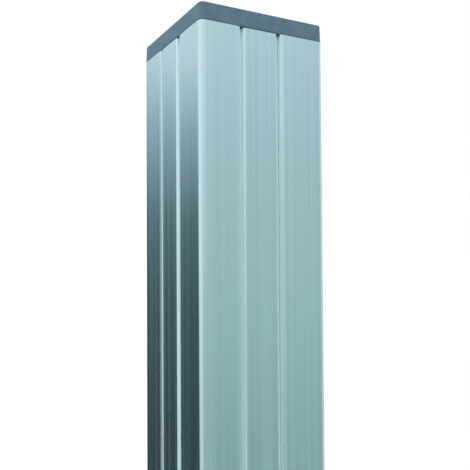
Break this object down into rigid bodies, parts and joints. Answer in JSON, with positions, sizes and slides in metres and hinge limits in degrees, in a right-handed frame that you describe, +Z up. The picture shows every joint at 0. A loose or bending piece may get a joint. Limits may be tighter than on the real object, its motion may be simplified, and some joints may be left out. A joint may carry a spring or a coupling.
{
  "type": "gate post",
  "caption": "Square extruded aluminium gate post with slotted faces closed by slide-in cover strips, and a flush push-in plastic cap.",
  "frame": {"origin": "centre of the post's foot, on the surface that it stands on", "axes": "+Z up along the post, -Y out of the front face, whose channel lies a little towards -X, -X out of the left face"},
  "size_m": [0.09, 0.09, 1.05],
  "materials": {
    "extrusion": "satin anodised, with fine lines along the extrusion",
    "strip": "satin anodised, with fine lines along the extrusion",
    "cap": "moulded, matt blue grey"
  },
  "bodies": {
    "root": {"post_profile": "extrusion", "strip_front": "strip", "strip_left": "strip", "strip_back": "strip", "strip_right": "strip", "cap": "cap"}
  },
  "joints": []
}
